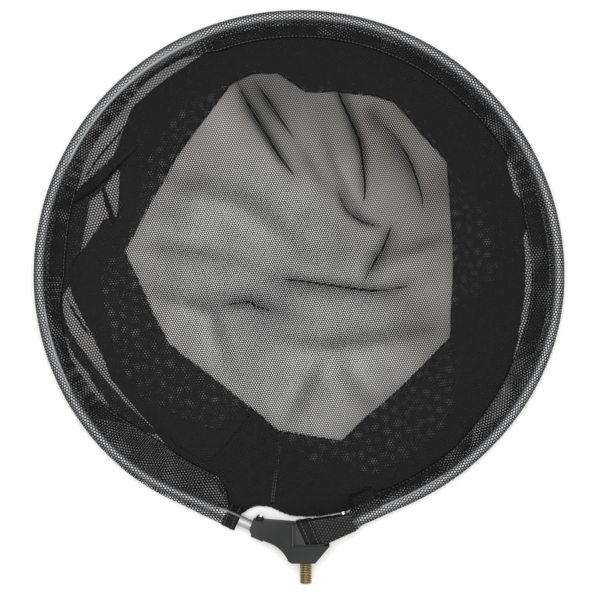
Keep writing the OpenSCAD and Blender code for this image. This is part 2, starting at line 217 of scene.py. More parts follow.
# Each lamp's name, place, size and power.
LAMPS = (("overhead", (-0.1, 0.35, 2.0), 1.4, 28), ("side", (1.6, -0.9, 1.5), 1.0, 6))
LAMPS_AIM = (0, 0.2, 0)
CAMERA_AT, VIEW_WIDTH = (-0.0043, 0.1975, 1.25), 0.4528


# ---- paths and outlines ----

def unit(angle):
    """The direction at an angle, in the plane of the hoop."""
    a = np.radians(angle)
    return np.stack([np.cos(a), np.sin(a)], axis=-1)


def lower_centre(side_r, turn, lower_r):
    """Centre of a lower bend, on the right side and from the ring's centre."""
    return np.array([HOOP_R - side_r, 0.0]) + (side_r - lower_r) * unit(-turn)


ARM_TURN = 90 - ARM_SLOPE
ARM_DIR = -unit(ARM_SLOPE)
ARM_OUT = unit(-ARM_TURN)
ARM_START = lower_centre(*RIGHT_BENDS) + RIGHT_BENDS[2] * ARM_OUT


def left_bends():
    """The left half's bends. The lower one has the radius that brings it into the mirrored arm."""
    whole, rest = math.cos(math.radians(ARM_TURN)), math.cos(math.radians(ARM_TURN - LEFT_TURN))
    past_side = ARM_START @ ARM_OUT - (HOOP_R - LEFT_SIDE_R) * whole - LEFT_SIDE_R * rest
    return LEFT_SIDE_R, LEFT_TURN, past_side / (1 - rest)


def half_path(arm, step, side_r, turn, lower_r):
    """One half of the tube's line from its top to a distance along its arm, from the ring's centre
    and as if it were the right half."""
    points, outs = [], []
    centre = lower_centre(side_r, turn, lower_r)
    for middle, r, start, end in (
        (np.zeros(2), HOOP_R, 90, 0),
        (np.array([HOOP_R - side_r, 0.0]), side_r, 0, -turn),
        (centre, lower_r, -turn, -ARM_TURN),
    ):
        n = math.ceil(math.radians(start - end) * r / step)
        out = unit(np.linspace(start, end, n, endpoint=False))
        points.append(middle + r * out)
        outs.append(out)
    begin = (centre + lower_r * ARM_OUT - ARM_START) @ ARM_DIR
    along = np.linspace(begin, arm, max(2, math.ceil((arm - begin) / step)))
    points.append(ARM_START + along[:, None] * ARM_DIR)
    outs.append(np.tile(ARM_OUT, (len(along), 1)))
    return np.concatenate(points), np.concatenate(outs)


def hoop_path(left, right, step=2.5):
    """The tube's line from the left arm over the top to the right one, and its outward
    directions."""
    mirror = np.array([-1.0, 1.0])
    left_points, left_outs = half_path(left, step, *left_bends())
    points, outs = half_path(right, step, *RIGHT_BENDS)
    points = np.concatenate([left_points[:0:-1] * mirror, points])
    return RING + points, np.concatenate([left_outs[:0:-1] * mirror, outs])


def angle_of(points):
    """Angle of each point round the ring's centre, from 0 to 360."""
    d = points - RING
    return np.degrees(np.arctan2(d[..., 1], d[..., 0])) % 360


def reach(outline, angles):
    """Distance from the ring's centre to a closed outline in each direction."""
    a = np.asarray(outline, float) - RING
    e = np.roll(a, -1, axis=0) - a
    d = unit(angles)[:, None, :]
    cross = d[..., 0] * e[:, 1] - d[..., 1] * e[:, 0]
    cross = np.where(np.abs(cross) < 1e-9, 1e-9, cross)
    t = (a[:, 0] * e[:, 1] - a[:, 1] * e[:, 0]) / cross
    s = (a[:, 0] * d[..., 1] - a[:, 1] * d[..., 0]) / cross
    return np.where((t > 0) & (s > -1e-6) & (s < 1 + 1e-6), t, np.inf).min(axis=1)


def around(pairs, angles):
    """The value in each direction, from a few (angle, value) pairs."""
    known, values = zip(*pairs)
    return np.interp(np.asarray(angles) % 360, known, values, period=360)


def soften(values, width):
    """Rounds the corners of a closed run of values with a moving average."""
    kernel = np.hanning(width + 2)[1:-1]
    padded = np.concatenate([values[-width:], values, values[:width]])
    return np.convolve(padded, kernel / kernel.sum(), "same")[width:-width]


def distances_along(line):
    """How far along a line of points each of them is."""
    return np.concatenate([[0], np.cumsum(np.linalg.norm(np.diff(line, axis=0), axis=1))])


def places_on(line, at):
    """The places on a line of points at some distances along it."""
    steps = distances_along(line)
    return np.stack([np.interp(at, steps, line[:, k]) for k in range(line.shape[1])], axis=-1)


def turned(x, y, angle):
    """Pairs x, y turned by an angle."""
    c, s = np.cos(np.radians(angle)), np.sin(np.radians(angle))
    return np.stack([x * c - y * s, x * s + y * c], axis=-1)


def away(points, line):
    """Distance of each point from a line of points, how far along it the nearest place is, from 0
    to 1, and which side the point is on: more than nothing on the left."""
    line = np.asarray(line, float)
    starts = distances_along(line)
    lengths = np.linalg.norm(np.diff(line, axis=0), axis=1)
    best = np.full(points.shape[:-1], np.inf)
    where, side = np.zeros(points.shape[:-1]), np.zeros(points.shape[:-1])
    for a, b, start, length in zip(line[:-1], line[1:], starts, lengths):
        t = np.clip((points - a) @ (b - a) / length ** 2, 0, 1)
        d = np.linalg.norm(points - a - t[..., None] * (b - a), axis=-1)
        closer = d < best
        best = np.where(closer, d, best)
        where = np.where(closer, (start + t * length) / starts[-1], where)
        cross = (b - a)[0] * (points - a)[..., 1] - (b - a)[1] * (points - a)[..., 0]
        side = np.where(closer, cross, side)
    return best, where, side


def smooth_line(corners, count):
    """Points of a smooth curve through a few points."""
    corners = np.asarray(corners, float)
    ends = np.concatenate([[2 * corners[0] - corners[1]], corners, [2 * corners[-1] - corners[-2]]])
    out = []
    for t in np.linspace(0, len(corners) - 1, count):
        i = min(int(t), len(corners) - 2)
        p0, p1, p2, p3 = ends[i:i + 4]
        f = t - i
        out.append(0.5 * (2 * p1 + (p2 - p0) * f + (2 * p0 - 5 * p1 + 4 * p2 - p3) * f ** 2
                          + (3 * p1 - p0 - 3 * p2 + p3) * f ** 3))
    return np.array(out)


def rumple(x, y, size, seed):
    """Smooth noise between about -1 and 1, over a length."""
    flat = [noise.noise((a / size, b / size, seed)) for a, b in zip(x.ravel(), y.ravel())]
    return np.array(flat).reshape(x.shape)


def lift(points):
    """How far the bag's cloth stands off the ground: soft folds, pleats and small ripples."""
    x, y = points[..., 0], points[..., 1]
    height = 0.9 + 0.9 * rumple(x, y, 42, 3.1) + 0.35 * rumple(x, y, 15, 7.7)
    for line, width, high, _ in FOLDS:
        d, t, _ = away(points, line)
        height += high * np.exp(-(d / width) ** 2) * np.sin(np.pi * np.clip(t, 0.04, 0.96))
    for line, _, _ in PLEATS:
        d, t, _ = away(points, line)
        height += 0.9 * np.exp(-(d / 4) ** 2) * np.sin(np.pi * np.clip(t, 0.03, 0.97))
    return np.maximum(height, 0)


def openness_and_painted_shade(points):
    """How much more open than usual the mesh stands, as a share of its holes' radius: random tone,
    and painted light and shade at the folds, the patches and beside the pleats.
    """
    x, y = points[..., 0], points[..., 1]
    share = 0.05 * rumple(x, y, 34, 9.4) + 0.025 * rumple(x, y, 11, 2.2)
    # Painted light and shade: each fold's holes widen on one flank and narrow on the other, and
    # along its crest.
    for line, width, _, (left, middle, right) in FOLDS:
        d, t, side = away(points, line)
        fade = np.sin(np.pi * np.clip(t, 0.02, 0.98)) ** 0.6
        u = d / width
        painted_light_shade_flank = 2.33 * u * np.exp(-u ** 2)
        share += fade * (middle * np.exp(-(1.4 * u) ** 2) + np.where(side > 0, left, right) * painted_light_shade_flank)
    # Painted shade: the mesh closes beside each pleat so that it shows darker there.
    for line, _, pleat_painted_shade in PLEATS:
        d, t, _ = away(points, line)
        share -= pleat_painted_shade * np.exp(-(d / 3.5) ** 2) * np.sin(np.pi * np.clip(t, 0.02, 0.98)) ** 0.6
    # Painted light and shade: wide patches where the holes grow or shrink.
    for middle, radius, change in PATCHES:
        share += change * np.exp(-np.sum((points - np.array(middle)) ** 2, axis=-1) / radius ** 2)
    return np.clip(share, -0.45, 0.2)


# ---- meshes ----

def make_object(name, points, faces, uvs=None, smooth=True):
    """A mesh object from points in millimetres. uvs has a pair for each corner of each face, also
    in millimetres."""
    mesh = bpy.data.meshes.new(name)
    mesh.from_pydata((np.asarray(points, float) * MM).tolist(), [], np.asarray(faces).tolist())
    if uvs is not None:
        layer = mesh.uv_layers.new(name="weave")
        layer.uv.foreach_set("vector", np.asarray(uvs, np.float32).ravel())
    if smooth:
        mesh.shade_smooth()
    mesh.update()
    obj = bpy.data.objects.new(name, mesh)
    bpy.context.scene.collection.objects.link(obj)
    return obj


def set_open_and_painted_shade(obj, share):
    """Says how much more open than usual the mesh stands at each point of an object, which carries
    painted light and shade.
    """
    layer = obj.data.attributes.new("open", "FLOAT", "POINT")
    layer.data.foreach_set("value", np.asarray(share, np.float32).ravel())


def grid_faces(rows, columns, closed_rows=False):
    """Quads over a grid of points, which may close on itself from its last row to its first."""
    i = np.arange(rows if closed_rows else rows - 1)[:, None]
    j = np.arange(columns - 1)[None, :]
    n = (i + 1) % rows
    here, next_row = i * columns + j, n * columns + j
    return np.stack([here, next_row, next_row + 1, here + 1], axis=-1).reshape(-1, 4)


def sheet_object(name, grid, closed_rows=False, metric=None, turns=None, stretch=1.0):
    """A sheet from a grid of points. Its weave follows metric, a pair for each point, or lies flat
    at turns, one angle for each strip between two columns. stretch is how much wider than at rest
    its mesh stands."""
    rows, columns = grid.shape[:2]
    faces = grid_faces(rows, columns, closed_rows)
    points = grid.reshape(-1, 3)
    if metric is not None:
        uvs = metric.reshape(-1, 2)[faces]
    else:
        flat = points[faces][..., :2]
        strip = np.tile(np.asarray(turns, float), len(faces) // (columns - 1))
        uvs = turned(flat[..., 0], flat[..., 1], strip[:, None])
    return make_object(name, points, faces, uvs / stretch)


def tube_object(name, centre_line, radius, sides, outs):
    """A round tube along a line of points. outs is the sideways direction at each point, level with
    the line."""
    up = np.array([0.0, 0.0, 1.0])
    ring = unit(np.linspace(0, 360, sides, endpoint=False))
    spokes = ring[None, :, :1] * outs[:, None, :] + ring[None, :, 1:] * up
    grid = centre_line[:, None, :] + radius * spokes
    grid = np.concatenate([grid, grid[:, :1]], axis=1)
    girth = np.arange(sides + 1) * 2 * math.pi * radius / sides
    along = distances_along(centre_line)
    metric = np.stack(np.broadcast_arrays(along[:, None], girth[None, :]), axis=-1)
    return sheet_object(name, grid, metric=metric)


def stitches(line, length, pitch, radius, slant=0.0):
    """Points and faces of a row of thread stitches along a line of points, each a small spindle.
    slant turns each one about the vertical."""
    at = np.arange(pitch / 2, distances_along(line)[-1], pitch)
    centre = places_on(line, at)
    along = places_on(line, at + 0.1) - places_on(line, at - 0.1)
    along /= np.linalg.norm(along, axis=1, keepdims=True)
    along[:, :2] = turned(along[:, 0], along[:, 1], slant)
    side = np.cross(along, [0.0, 0.0, 1.0])
    side /= np.linalg.norm(side, axis=1, keepdims=True)
    up = np.cross(side, along)
    places = np.array([-0.5, -0.42, -0.2, 0.0, 0.2, 0.42, 0.5]) * length
    girth = np.array([0.25, 0.7, 0.95, 1.0, 0.95, 0.7, 0.25]) * radius
    dip = np.array([-0.9, -0.4, 0.1, 0.2, 0.1, -0.4, -0.9]) * radius
    sides = 6
    ring = unit(np.arange(sides) * 360 / sides)
    centre, along, side, up = (v[:, None, None, :] for v in (centre, along, side, up))
    places, girth, dip = (v[None, :, None, None] for v in (places, girth, dip))
    spokes = ring[None, None, :, :1] * side + ring[None, None, :, 1:] * up
    points = centre + places * along + girth * spokes + dip * up
    i, k = np.arange(places.size - 1)[:, None], np.arange(sides)[None, :]
    n = (k + 1) % sides
    row, next_row = i * sides, (i + 1) * sides
    one = np.stack([row + k, next_row + k, next_row + n, row + n], axis=-1).reshape(-1, 4)
    size = places.size * sides
    faces = (one[None] + np.arange(len(centre))[:, None, None] * size).reshape(-1, 4)
    return points.reshape(-1, 3), faces


def stitch_object(name, rows):
    """One object of several rows of stitches, each given as the points and faces of a row."""
    points, faces, count = [], [], 0
    for row_points, row_faces in rows:
        points.append(row_points)
        faces.append(row_faces + count)
        count += len(row_points)
    return make_object(name, np.concatenate(points), np.concatenate(faces))


# ---- materials ----

def add(tree, kind, inputs=None, **settings):
    """Adds a node. An input is a value, or another node's output to link."""
    made = tree.nodes.new(kind)
    for key, value in settings.items():
        setattr(made, key, value)
    for key, value in (inputs or {}).items():
        if isinstance(value, bpy.types.NodeSocket):
            tree.links.new(value, made.inputs[key])
        else:
            made.inputs[key].default_value = value
    return made


def calc(tree, operation, *values):
    """A Math node's output."""
    return add(tree, "ShaderNodeMath", dict(enumerate(values)), operation=operation).outputs[0]


def vector(tree, operation, *values):
    """A Vector Math node's output."""
    made = add(tree, "ShaderNodeVectorMath", dict(enumerate(values)), operation=operation)
    return made.outputs["Value" if operation == "LENGTH" else "Vector"]


def speckle(tree, place, scale, detail, output="Fac"):
    """A Noise Texture's output."""
    made = add(tree, "ShaderNodeTexNoise", {"Vector": place, "Scale": scale, "Detail": detail})
    return made.outputs[output]


def add_bump(tree, shader, height, strength, distance):
    """Raises a shader's surface by a height. distance is in metres."""
    inputs = {"Strength": strength, "Distance": distance, "Height": height}
    tree.links.new(add(tree, "ShaderNodeBump", inputs).outputs[0], shader.inputs["Normal"])


def ramp(tree, factor, stops):
    """A colour ramp's output, from (place, colour) stops."""
    made = add(tree, "ShaderNodeValToRGB", {0: factor})
    elements = made.color_ramp.elements
    while len(elements) < len(stops):
        elements.new(0.5)
    for element, (place, colour) in zip(elements, stops):
        element.position = place
        element.color = (*colour, 1)
    return made.outputs[0]


def new_material(name, **values):
    """A material, its tree and its Principled shader. values are for the shader's own sockets."""
    material = bpy.data.materials.new(name)
    material.use_nodes = True
    shader = material.node_tree.nodes["Principled BSDF"]
    for key, value in values.items():
        shader.inputs[key.replace("_", " ")].default_value = value
    return material, material.node_tree, shader


def knit(name, hole, colour, tension=0.05):
    """Black knitted mesh: round holes on a staggered grid, seen through, with the threads between
    them. hole is the holes' radius in millimetres, and tension how much it varies."""
    material, tree, shader = new_material(name, Roughness=0.6, Specular_IOR_Level=0.12)
    weave = add(tree, "ShaderNodeUVMap", uv_map="weave").outputs[0]
    sway = vector(tree, "SUBTRACT", speckle(tree, weave, 0.06, 1.0, "Color"), (0.5, 0.5, 0.5))
    uv = vector(tree, "ADD", weave, vector(tree, "MULTIPLY", sway, (1.6, 1.6, 0)))
    cell = (MESH_PITCH, MESH_PITCH * math.sqrt(3), 1)
    scaled = vector(tree, "DIVIDE", uv, cell)
    distances = []
    for shift in (0, 0.5):
        part = vector(tree, "FRACTION", vector(tree, "ADD", scaled, (shift, shift, 0)))
        real = vector(tree, "MULTIPLY", vector(tree, "SUBTRACT", part, (0.5, 0.5, 0)), cell)
        distances.append(vector(tree, "LENGTH", real))
    distance = calc(tree, "MINIMUM", *distances)
    loose = speckle(tree, uv, 0.03, 2.0)
    usual = calc(tree, "MULTIPLY_ADD", loose, 2 * tension * hole, hole * (1 - tension))
    # The holes grow and shrink with the points' stored openness, which paints light and shade
    # across folds, patches and pleats.
    opened_and_painted_shade = add(tree, "ShaderNodeAttribute", attribute_name="open").outputs["Fac"]
    radius = calc(tree, "MULTIPLY_ADD", opened_and_painted_shade, hole, usual)
    edge = calc(tree, "SUBTRACT", distance, radius)
    cover = add(tree, "ShaderNodeMapRange", {0: edge, 1: -0.05, 2: 0.05},
                interpolation_type="SMOOTHSTEP").outputs[0]
    tree.links.new(cover, shader.inputs["Alpha"])
    dark, light = colour
    strand = speckle(tree, uv, 1.7, 1.0)
    tree.links.new(ramp(tree, strand, [(0.3, dark), (0.7, light)]), shader.inputs["Base Color"])
    add_bump(tree, shader, edge, 0.4, 0.0002)
    return material


def thread_material():
    """Black sewing thread with a fine twist."""
    material, tree, shader = new_material("thread", Roughness=0.6, Specular_IOR_Level=0.3)
    place = add(tree, "ShaderNodeTexCoord").outputs["Object"]
    twist = add(tree, "ShaderNodeTexWave", {"Vector": place, "Scale": 700.0, "Distortion": 2.0},
                bands_direction="DIAGONAL").outputs[1]
    tree.links.new(ramp(tree, twist, [(0.2, (0.030, 0.030, 0.031)), (0.8, (0.15, 0.15, 0.15))]),
                   shader.inputs["Base Color"])
    add_bump(tree, shader, twist, 0.5, 0.0001)
    return material


def alloy_material():
    """Satin aluminium tube with drawing marks along it."""
    material, tree, shader = new_material("hoop_alloy", Metallic=1.0)
    uv = add(tree, "ShaderNodeUVMap", uv_map="weave").outputs[0]
    lengthways = add(tree, "ShaderNodeMapping", {"Vector": uv, "Scale": (0.02, 3.0, 1.0)})
    marks = speckle(tree, lengthways.outputs[0], 1.0, 4.0)
    tree.links.new(ramp(tree, marks, [(0.3, (0.40, 0.41, 0.42)), (0.7, (0.51, 0.52, 0.53))]),
                   shader.inputs["Base Color"])
    tree.links.new(calc(tree, "MULTIPLY_ADD", marks, 0.15, 0.5), shader.inputs["Roughness"])
    add_bump(tree, shader, marks, 0.2, 0.00005)
    return material


def plastic_material(name, colour, rub):
    """Moulded black plastic with a fine grain, a little lighter where edges are rubbed."""
    material, tree, shader = new_material(name, Specular_IOR_Level=0.11)
    place = add(tree, "ShaderNodeTexCoord").outputs["Object"]
    grain = speckle(tree, place, 2600.0, 2.0)
    cloud = speckle(tree, place, 90.0, 3.0)
    edges = add(tree, "ShaderNodeNewGeometry").outputs["Pointiness"]
    worn = add(tree, "ShaderNodeMapRange", {0: edges, 1: 0.52, 2: 0.6}).outputs[0]
    base = ramp(tree, cloud, [(0.3, colour), (0.7, tuple(1.25 * c for c in colour))])
    share = calc(tree, "MULTIPLY", worn, 0.6)
    mixed = add(tree, "ShaderNodeMix", {"Factor": share, "A": base, "B": (*rub, 1)},
                data_type="RGBA").outputs["Result"]
    tree.links.new(mixed, shader.inputs["Base Color"])
    tree.links.new(calc(tree, "MULTIPLY_ADD", cloud, 0.15, 0.45), shader.inputs["Roughness"])
    add_bump(tree, shader, grain, 0.25, 0.00008)
    return material


def brass_material():
    """Golden brass with painted shade that makes it darker in the thread's grooves."""
    material, tree, shader = new_material("stud_brass", Metallic=1.0)
    place = add(tree, "ShaderNodeTexCoord").outputs["Object"]
    parts = add(tree, "ShaderNodeSeparateXYZ", {0: place})
    across = add(tree, "ShaderNodeCombineXYZ", {0: parts.outputs[0], 1: parts.outputs[2]})
    radius = vector(tree, "LENGTH", across.outputs[0])
    # Painted shade: the colour darkens with the depth into the thread's grooves.
    depth = add(tree, "ShaderNodeMapRange",
                {0: radius, 1: (STUD_R - THREAD_DEPTH) * MM, 2: STUD_R * MM}).outputs[0]
    groove_painted_shade = [(0.0, (0.12, 0.09, 0.045)), (0.55, (0.38, 0.30, 0.15)), (1.0, (0.62, 0.50, 0.27))]
    tree.links.new(ramp(tree, depth, groove_painted_shade), shader.inputs["Base Color"])
    marks = speckle(tree, place, 500.0, 3.0)
    tree.links.new(calc(tree, "MULTIPLY_ADD", marks, 0.2, 0.2), shader.inputs["Roughness"])
    return material


def steel_material():
    """Bright zinc-plated screws."""
    material, tree, shader = new_material("screw_steel", Metallic=1.0)
    place = add(tree, "ShaderNodeTexCoord").outputs["Object"]
    marks = speckle(tree, place, 900.0, 3.0)
    tree.links.new(ramp(tree, marks, [(0.3, (0.55, 0.56, 0.58)), (0.7, (0.78, 0.79, 0.8))]),
                   shader.inputs["Base Color"])
    tree.links.new(calc(tree, "MULTIPLY_ADD", marks, 0.2, 0.2), shader.inputs["Roughness"])
    return material


def paint(obj, material):
    """Gives an object one material in place of any it has."""
    obj.data.materials.clear()
    obj.data.materials.append(material)
    for slot in obj.material_slots:
        slot.material = material


# ---- the pieces ----

def build_tube():
    """The hoop's tube, round and smooth, with its ends in the block."""
    points, outs = hoop_path(TUBE_LEFT, TUBE_RIGHT, step=2.0)
    line, level_outs = (np.column_stack([v, np.zeros(len(v))]) for v in (points, outs))
    return tube_object("hoop_tube_smooth", line, TUBE_R, 48, level_outs)


def box_section(inner, outer, top, foot, count):
    """An open loop round the wing, from the middle of its inner side and back to it."""
    corner = 1.2
    middle = (top + foot) / 2
    loop = [(inner, middle)]
    for x, z, start in ((inner + corner, top - corner, 180), (outer - corner, top - corner, 90),
                        (outer - corner, foot + corner, 0), (inner + corner, foot + corner, -90)):
        for turn in (0, 30, 60, 90):
            a = math.radians(start - turn)
            loop.append((x + corner * math.cos(a), z + corner * math.sin(a)))
    loop.append((inner, middle))
    loop = np.array(loop)
    return places_on(loop, np.linspace(0, distances_along(loop)[-1], count))


# Directions from the tube's middle of the sleeve's points round it.
ARC_ANGLES = np.linspace(112, -104, 17)


def sleeve_section(web, turn_in, loose, grow=0.0):
    """The sleeve's open section round the tube: (outwards, up) from the tube's middle. web is how
    far inwards the seam is, turn_in the width of its turned edges, loose how far it stands off
    outside the tube."""
    r = TUBE_R + CLOTH_GAP + grow
    arc = r * unit(ARC_ANGLES)
    side = np.clip(np.cos(np.radians(ARC_ANGLES)), 0, 1) ** 2
    arc[:, 0] += loose * side
    arc[:, 1] *= 1 - 0.12 * min(loose, 4) * side
    tip_top, tip_foot = (-web, WEB_TIP_Z + 0.35 + grow), (-web, WEB_TIP_Z - 0.35 - grow)
    share = np.linspace(0, 1, 6)[:, None]
    over = np.array(tip_top) * (1 - share) + arc[0] * share
    over[:, 1] -= 1.3 * np.sin(np.pi * share[:, 0]) * min(1.0, web / 20)
    under = arc[-1] * (1 - share) + np.array(tip_foot) * share
    under[:, 1] -= 0.8 * np.sin(np.pi * share[:, 0])
    edge = np.array([(-web + turn_in, 0.12), (-web + turn_in / 2, 0.12), (-web + 0.2, 0.15)])
    turned_top = edge + (0, WEB_TIP_Z)
    turned_foot = edge[::-1] * (1, -1) + (0, WEB_TIP_Z)
    return np.concatenate([turned_top, over, arc[1:-1], under, turned_foot])


def seam_under(points, outs):
    """How far inwards of each frame of a path the rim seam is, and how wide the sleeve's edges are
    turned in."""
    angles = angle_of(points)
    radius = np.linalg.norm(points - RING, axis=1)
    cosine = np.abs(np.einsum("ij,ij->i", outs, unit(angles)))
    web = np.clip((radius - around(RIM, angles)) * cosine, 8, 30)
    return web, np.minimum(around(TURN_IN, angles), web - 6)


def sleeve_grid(points, outs, arm, grow=0.0):
    """The sleeve's points for each frame of a path. arm is each frame's distance along the right
    arm, or less than nothing elsewhere: past the wing's end the section turns into the wing's
    own."""
    web, turn_in = seam_under(points, outs)
    loose = around(LOOSE, angle_of(points))
    web = np.where(arm > 20, 19, web)
    rows = []
    for i in range(len(points)):
        section = sleeve_section(web[i], turn_in[i], loose[i] if arm[i] < 0 else 0.2, grow)
        if arm[i] > WING_AT - 6:
            inner = -np.interp(arm[i], (WING_AT, SPLIT_ALONG), WING_IN) - 0.5 - grow
            ledge = (RING[1] + ARM_START[1] + arm[i] * ARM_DIR[1] - LEDGE_Y - 0.4) / -ARM_OUT[1]
            outer = min(WING_OUT + 0.5 + grow, ledge)
            top, foot = WING_TOP + 0.35 + grow, WING_FOOT - 0.35 - grow
            box = box_section(inner, outer, top, foot, len(section))
            t = np.clip((arm[i] - (WING_AT - 6)) / 6, 0, 1)
            t = t * t * (3 - 2 * t)
            section = section * (1 - t) + box * t
        rows.append(section)
    rows = np.array(rows)
    level = points[:, None, :] + rows[..., :1] * outs[:, None, :]
    grid = np.concatenate([level, rows[..., 1:]], axis=-1)
    x, y = grid[..., 0], grid[..., 1]
    grid[..., 2] += 0.12 * rumple(x, y, 14, 1.3) + 0.03 * rumple(x, y, 4, 5.3)
    return grid


def metric_of(grid):
    """Distances along and across a grid of points, from its middle column, as its weave. The mesh's
    rows are slanted to both."""
    middle = grid.shape[1] // 2
    steps = np.linalg.norm(np.diff(grid, axis=1), axis=-1)
    across = np.concatenate([np.zeros((len(grid), 1)), np.cumsum(steps, axis=1)], axis=1)
    across -= across[:, middle][:, None]
    along = np.broadcast_to(distances_along(grid[:, middle])[:, None], across.shape)
    return turned(along, across, SLEEVE_TURN)


def arm_of(points, outs):
    """Each frame's distance along the right arm, or less than nothing elsewhere."""
    along = (points - RING - ARM_START) @ ARM_DIR
    straight = (outs @ ARM_OUT > 0.99999) & (points[:, 0] > RING[0] - 80)
    return np.where(straight, along, -1)


def build_sleeve():
    """The sleeve that holds the net on the hoop, from the left hem to the one over the wing."""
    points, outs = hoop_path(SLEEVE_LEFT - HEM_W + 0.5, SLEEVE_RIGHT - HEM_W + 0.5, step=2.2)
    grid = sleeve_grid(points, outs, arm_of(points, outs))
    return sheet_object("net_sleeve_cloth", grid, metric=metric_of(grid), stretch=SLEEVE_STRETCH)


def build_hem(name, side):
    """A sleeve's turned hem: the cloth runs to the cut end and turns back inside it."""
    if side == "left":
        points, outs = hoop_path(SLEEVE_LEFT, 0, step=1.5)
        keep = slice(0, 8)
    else:
        points, outs = hoop_path(0, SLEEVE_RIGHT, step=1.5)
        keep = slice(len(points) - 8, len(points))
    points, outs = points[keep], outs[keep]
    arm = arm_of(points, outs)
    outside = sleeve_grid(points, outs, arm, grow=0.55)
    inside = sleeve_grid(points, outs, arm, grow=0.12)
    if side == "left":
        grid = np.concatenate([inside[::-1], outside])
    else:
        grid = np.concatenate([inside, outside[::-1]])
    return sheet_object(name, grid, metric=metric_of(grid)), outside


def hem_stitch_rows(outside, ends):
    """Two rows of stitches round a hem, on its outer face."""
    rows = []
    for index in ends:
        ring = outside[index].copy()
        centre = ring.mean(axis=0)
        ring += 0.15 * (ring - centre) / np.linalg.norm(ring - centre, axis=1, keepdims=True)
        rows.append(stitches(ring, 2.0, 2.7, 0.28))
    return rows


def wall_lines():
    """The radii, in every direction, of the wall's rim, its folds and the base's edge, in the order
    in which the wall meets them."""
    rim = soften(around(RIM, ANGLES), 5)
    wobble = 0.8 * np.array([noise.noise((x * 6, y * 6, 4)) for x, y in unit(ANGLES)])
    fold = soften(reach(FOLD, ANGLES), 3) + wobble
    pile = np.maximum(soften(around(PILE, ANGLES), 3), fold + 6)
    tuck_out = soften(np.clip(around(TUCK_OUT, ANGLES), fold + 0.8, rim + 3), 3)
    tuck_in = soften(np.clip(around(TUCK_IN, ANGLES), fold + 0.8, tuck_out), 3)
    deep = np.clip(soften(around(DEEP, ANGLES), 3), fold + 1.2, pile - 0.5)
    return rim, tuck_in, tuck_out, fold, pile - 0.6, deep, pile


def beside_rim(rim, radius):
    """How much of the bag's ripples shows at a radius: none at the rim, all from RIM_FADE
    inwards."""
    return np.clip((rim - radius) / RIM_FADE, 0, 1)


def build_wall():
    """The bag's wall: one strip that runs back and forth from the rim to the base's edge."""
    lines = wall_lines()
    per_run, per_turn = 7, 4
    last = len(RUN_Z) - 1
    rows, heights, turns = [], [], []
    # Next to the block the first run starts lower, near the ground.
    low = around([(248, 0), (253, 1), (283, 1), (289, 0)], ANGLES)
    for run in range(last + 1):
        start, end = lines[run], lines[run + 1]
        z = np.full_like(ANGLES, RUN_Z[run])
        reach_in = np.minimum(1.0, np.abs(end - start) / 3)
        sign = np.sign(end - start)
        begin = start + sign * reach_in if run else start
        finish = end - sign * reach_in if run < last else end
        z_first = (WEB_TIP_Z * (1 - low) + (GROUND + 3) * low) if run == 0 else z
        for t in np.linspace(0, 1, per_run):
            rows.append(begin * (1 - t) + finish * t)
            heights.append(z_first * (1 - t) + z * t + 0.1 * math.sin(math.pi * t))
            turns.append(RUN_TURNS[run])
        if run < last:
            half = (RUN_Z[run] - RUN_Z[run + 1]) / 2
            for a in np.linspace(0, 180, per_turn + 2)[1:-1]:
                rows.append(finish + sign * reach_in * math.sin(math.radians(a)))
                heights.append(z - half + half * math.cos(math.radians(a)))
                turns.append(RUN_TURNS[run])
    radius, height = np.array(rows).T, np.array(heights).T
    level_points = RING + radius[..., None] * unit(ANGLES)[:, None, :]
    height = height + lift(level_points) * beside_rim(lines[0][:, None], radius)
    grid = np.concatenate([level_points, height[..., None]], axis=-1)
    wall = sheet_object("net_wall_cloth", grid, closed_rows=True, turns=turns[:-1],
                        stretch=WALL_STRETCH)
    set_open_and_painted_shade(wall, np.full(level_points.shape[:-1], -0.06))
    join_into(wall, [build_pleat(f"wall_pleat_{i}", line, width, GROUND + 4)
                     for i, (line, width) in enumerate(WALL_PLEATS)])
    return wall


def build_base():
    """The base panel, lying on the ground in soft waves, with narrow pleats laid over it."""
    pile = wall_lines()[-1]
    share = np.linspace(0.0001, 1, 120) ** 0.9
    radius = pile[:, None] * share
    level_points = RING + radius[..., None] * unit(ANGLES)[:, None, :]
    height = BASE_Z + lift(level_points) * beside_rim(around(RIM, ANGLES)[:, None], radius)
    grid = np.concatenate([level_points, height[..., None]], axis=-1)
    turns = [BASE_TURN] * (len(share) - 1)
    base = sheet_object("net_base_cloth", grid, closed_rows=True, turns=turns)
    set_open_and_painted_shade(base, openness_and_painted_shade(level_points))
    join_into(base, [build_pleat(f"base_pleat_{i}", line, width, BASE_Z)
                     for i, (line, width, _) in enumerate(PLEATS)])
    return base


def build_pleat(name, corners, width, level_z):
    """A pleat: a loop of cloth along a line, fallen over to one side, back and forth on itself."""
    line = smooth_line(corners, 40)
    along = np.gradient(line, axis=0)
    along /= np.linalg.norm(along, axis=1, keepdims=True)
    side = np.column_stack([along[:, 1], -along[:, 0]])
    t = np.linspace(0, 1, len(line))
    size = width * np.sin(np.pi * np.clip(t, 0.03, 0.97)) ** 0.5
    section = np.array([(-0.55, 0.0), (-0.2, 0.36), (0.2, 0.42), (0.5, 0.3), (-0.4, 0.2),
                        (0.45, 0.12), (-0.45, 0.05)])
    ground = level_z + lift(line) + 0.05
    level = line[:, None, :] + section[None, :, :1] * size[:, None, None] * side[:, None, :]
    height = ground[:, None] + section[None, :, 1] * np.minimum(size, 2.5)[:, None]
    grid = np.concatenate([level, height[..., None]], axis=-1)
    return sheet_object(name, grid, turns=[50, 50, 50, 15, 80, 35])


